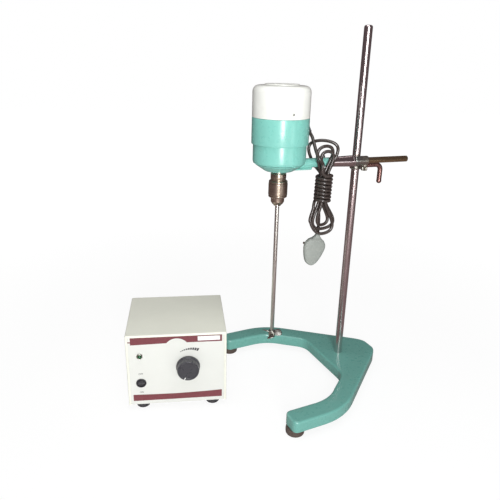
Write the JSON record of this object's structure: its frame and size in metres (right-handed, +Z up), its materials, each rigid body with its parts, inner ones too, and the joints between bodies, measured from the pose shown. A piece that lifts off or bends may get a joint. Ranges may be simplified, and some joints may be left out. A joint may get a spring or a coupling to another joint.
{
  "type": "laboratory stirrer",
  "caption": "Overhead laboratory stirrer: motor head with chuck, shaft and impeller on a clamp stand with a U-shaped base, with its separate speed regulator box.",
  "frame": {"origin": "middle of the footprint of stand, head and regulator, on the bench", "axes": "+Z up along the upright rod, +X to the right seen from the regulator's panel, panel facing -Y"},
  "size_m": [0.5678, 0.3624, 0.727],
  "materials": {
    "sea_green_paint": "glossy stove enamel",
    "white_enamel": "glossy, slightly aged",
    "cream_paint": "satin",
    "panel_white": "satin",
    "polished_chrome": "polished",
    "nickel": "nickel plated, worn",
    "brass": "dull, tarnished",
    "steel": "ground, slightly browned",
    "dark_steel": "oil blackened",
    "laminated_steel": "stacked sheets",
    "copper": "varnished copper",
    "rubber": "matte",
    "cord_rubber": "semi gloss, dark brown",
    "plug_grey": "matte moulded",
    "black_plastic": "moulded",
    "green_lens": "clear green, lit",
    "circuit_board": "fibre board with parts"
  },
  "bodies": {
    "stand_and_regulator": {"stand_base": "sea_green_paint", "stand_foot_front": "rubber", "stand_foot_back": "rubber", "stand_foot_heel": "rubber", "stand_rod": "polished_chrome", "stand_rod_nut": "nickel", "regulator_cover": "cream_paint", "regulator_chassis": "cream_paint", "regulator_panel": "panel_white", "regulator_foot_1": "rubber", "regulator_foot_2": "rubber", "regulator_foot_3": "rubber", "regulator_foot_4": "rubber", "speed_control": "nickel", "switch_body": "black_plastic", "pilot_bezel": "nickel", "pilot_lens": "green_lens", "control_board": "circuit_board", "heat_sink": "laminated_steel", "motor_socket": "black_plastic", "mains_inlet": "black_plastic"},
    "boss": {"boss_head": "nickel"},
    "rod_screw": {"rod_clamp_screw": "nickel"},
    "arm_screw": {"arm_clamp_screw": "nickel"},
    "arm": {"arm_rod": "brass", "arm_sleeve": "polished_chrome"},
    "head": {"motor_bracket": "sea_green_paint", "bracket_set_screw": "nickel", "lower_housing": "sea_green_paint", "upper_housing": "sea_green_paint", "motor_cap": "white_enamel", "cap_lid": "white_enamel", "cap_screw": "nickel", "cord_gland": "black_plastic", "lower_bearing": "steel", "upper_bearing": "steel", "stator_core": "laminated_steel", "field_winding": "copper", "end_frame": "steel", "brush_holder_front": "brass", "brush_holder_back": "brass", "cord_lead": "cord_rubber", "cord_hank": "cord_rubber", "plug_body": "plug_grey", "plug_pins": "brass"},
    "rotor": {"spindle": "steel", "armature": "laminated_steel", "commutator": "copper", "cooling_fan": "black_plastic", "chuck_body": "dark_steel"},
    "sleeve": {"chuck_sleeve": "dark_steel"},
    "jaw_1": {"chuck_jaw_1": "dark_steel"},
    "jaw_2": {"chuck_jaw_2": "dark_steel"},
    "jaw_3": {"chuck_jaw_3": "dark_steel"},
    "stirrer": {"stirring_shaft": "steel", "impeller": "steel"},
    "knob": {"speed_shaft": "steel", "speed_knob": "black_plastic"},
    "rocker": {"power_rocker": "black_plastic"}
  },
  "joints": [
    {"name": "boss_height", "type": "slide", "parent": "stand_and_regulator", "child": "boss", "axis": [0, 0, 1], "range_m": [-0.06, 0.2]},
    {"name": "rod_screw_turn", "type": "hinge", "parent": "boss", "child": "rod_screw", "pos_m": [0.20651, 0.05786, 0.4685], "axis": [-0.9801, -0.1983, 0], "range_deg": [-170, 85]},
    {"name": "arm_screw_turn", "type": "hinge", "parent": "boss", "child": "arm_screw", "pos_m": [0.18891, 0.03389, 0.466], "axis": [0, 0, 1], "range_deg": [0, 360]},
    {"name": "arm_reach", "type": "slide", "parent": "boss", "child": "arm", "axis": [-0.9801, -0.1983, 0], "range_m": [0, 0.04]},
    {"name": "head_tilt", "type": "hinge", "parent": "arm", "child": "head", "pos_m": [0.08306, 0.01247, 0.482], "axis": [-0.9801, -0.1983, 0], "range_deg": [-15, 15]},
    {"name": "rotor_spin", "type": "hinge", "parent": "head", "child": "rotor", "pos_m": [0.01067, -0.00217, 0.422], "axis": [0, 0, 1], "continuous": true},
    {"name": "sleeve_turn", "type": "hinge", "parent": "rotor", "child": "sleeve", "pos_m": [0.01067, -0.00217, 0.422], "axis": [0, 0, 1], "range_deg": [0, 900]},
    {"name": "stirrer_slide", "type": "slide", "parent": "rotor", "child": "stirrer", "axis": [0, 0, 1], "range_m": [-0.02, 0.006]},
    {"name": "jaw_1_slide", "type": "slide", "parent": "rotor", "child": "jaw_1", "axis": [-0.2038, -0.0412, 0.9781], "range_m": [0, 0.0048]},
    {"name": "jaw_2_slide", "type": "slide", "parent": "rotor", "child": "jaw_2", "axis": [0.1376, -0.1559, 0.9781], "range_m": [0, 0.0049]},
    {"name": "jaw_3_slide", "type": "slide", "parent": "rotor", "child": "jaw_3", "axis": [0.0662, 0.1971, 0.9781], "range_m": [0, 0.0049]},
    {"name": "knob_turn", "type": "hinge", "parent": "stand_and_regulator", "child": "knob", "pos_m": [-0.1655, -0.06329, 0.0953], "axis": [0, 1, 0], "range_deg": [0, 280]},
    {"name": "rocker_tilt", "type": "hinge", "parent": "stand_and_regulator", "child": "rocker", "pos_m": [-0.2577, -0.06449, 0.0618], "axis": [1, 0, 0], "range_deg": [-16, 0]}
  ],
  "couplings": [
    {"joint": "sleeve_turn", "follows": "jaw_1_slide", "rad_per_m": 3272.5},
    {"joint": "jaw_2_slide", "follows": "jaw_1_slide", "ratio": 1},
    {"joint": "jaw_3_slide", "follows": "jaw_1_slide", "ratio": 1}
  ]
}
